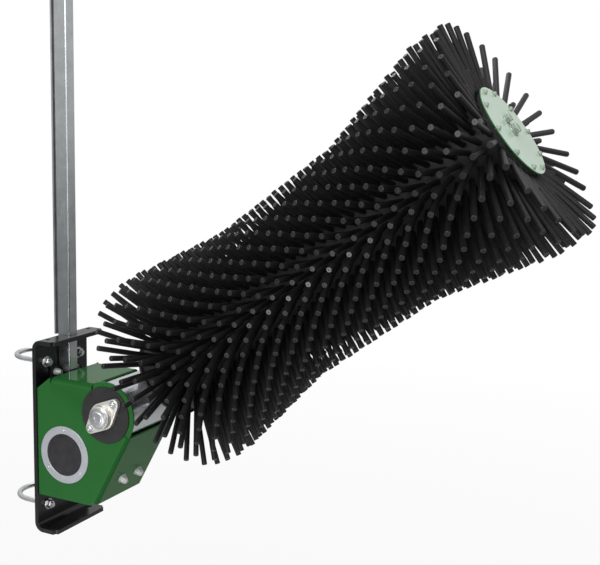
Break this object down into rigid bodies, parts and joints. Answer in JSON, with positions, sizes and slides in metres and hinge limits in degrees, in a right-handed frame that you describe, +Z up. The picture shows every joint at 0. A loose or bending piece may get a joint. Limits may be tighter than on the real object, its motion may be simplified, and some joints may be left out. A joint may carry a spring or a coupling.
{
  "type": "rotating cow brush",
  "caption": "Rotating cow brush with black bristles on a tilting neck, a green folded housing and a black post bracket.",
  "frame": {"origin": "centre of the bracket's flat rear face, which seats on the post", "axes": "+X out from the post, +Y along the pivot drum toward the far side, +Z up"},
  "size_m": [1.3582, 0.4764, 1.2963],
  "materials": {
    "black_paint": "gloss black powder coat",
    "green_paint": "high-gloss green paint",
    "zinc": "zinc plated",
    "mast_steel": "polished, mirror-like",
    "drum_steel": "polished, mirror-like",
    "dark_steel": "dark satin coating",
    "bearing_paint": "pale satin paint",
    "disc_black": "matte black",
    "badge_metal": "satin grey",
    "badge_face": "dark satin face, bare",
    "buffer_rubber": "moulded rubber",
    "bristle_plastic": "black nylon",
    "core_plastic": "dark grey plastic",
    "end_disc_paint": "gloss green paint",
    "motor_paint": "grey satin paint"
  },
  "bodies": {
    "frame": {"bracket": "black_paint", "stop_bracket": "black_paint", "upper_u_bolt": "zinc", "lower_u_bolt": "zinc", "upper_left_nut": "zinc", "upper_right_nut": "zinc", "lower_left_nut": "zinc", "lower_right_nut": "zinc", "mast_tube": "mast_steel", "mast_cap": "disc_black", "housing_shell": "green_paint", "badge_ring": "badge_metal", "badge_plate": "badge_face", "rear_pad": "buffer_rubber", "left_pivot_disc": "disc_black", "left_flange_bearing": "bearing_paint", "left_bearing_cap": "bearing_paint", "left_lower_bearing_bolt": "zinc", "left_upper_bearing_bolt": "zinc", "left_rear_bolt": "zinc", "left_front_bolt": "zinc", "left_front_buffer": "buffer_rubber", "right_pivot_disc": "disc_black", "right_flange_bearing": "bearing_paint", "right_bearing_cap": "bearing_paint", "right_lower_bearing_bolt": "zinc", "right_upper_bearing_bolt": "zinc", "right_rear_bolt": "zinc", "right_front_bolt": "zinc", "right_front_buffer": "buffer_rubber"},
    "arm": {"pivot_drum": "drum_steel", "stop_lever": "dark_steel", "neck_tube": "dark_steel", "drive_motor": "motor_paint", "gearbox": "motor_paint", "left_drum_end": "dark_steel", "right_drum_end": "dark_steel"},
    "brush": {"near_end_plate": "core_plastic", "bearing_seat": "dark_steel", "core_bearing": "zinc", "core_tube": "dark_steel", "output_shaft": "zinc", "drive_hub": "dark_steel", "far_end_plate": "core_plastic", "end_disc": "end_disc_paint", "centre_bolt": "zinc", "side_bolt": "zinc", "bristle_ring_1": "bristle_plastic", "bristle_ring_2": "bristle_plastic", "bristle_ring_3": "bristle_plastic", "bristle_ring_4": "bristle_plastic"}
  },
  "joints": [
    {"name": "arm_tilt", "type": "hinge", "parent": "frame", "child": "arm", "pos_m": [0.2063, 0, 0.0821], "axis": [0, 1, 0], "range_deg": [-25, 49], "stiffness_Nm_per_rad": 630, "springref_deg": -19.88},
    {"name": "brush_spin", "type": "hinge", "parent": "arm", "child": "brush", "pos_m": [0.2063, 0, 0.0821], "axis": [0.7986, 0, 0.6018], "continuous": true}
  ]
}
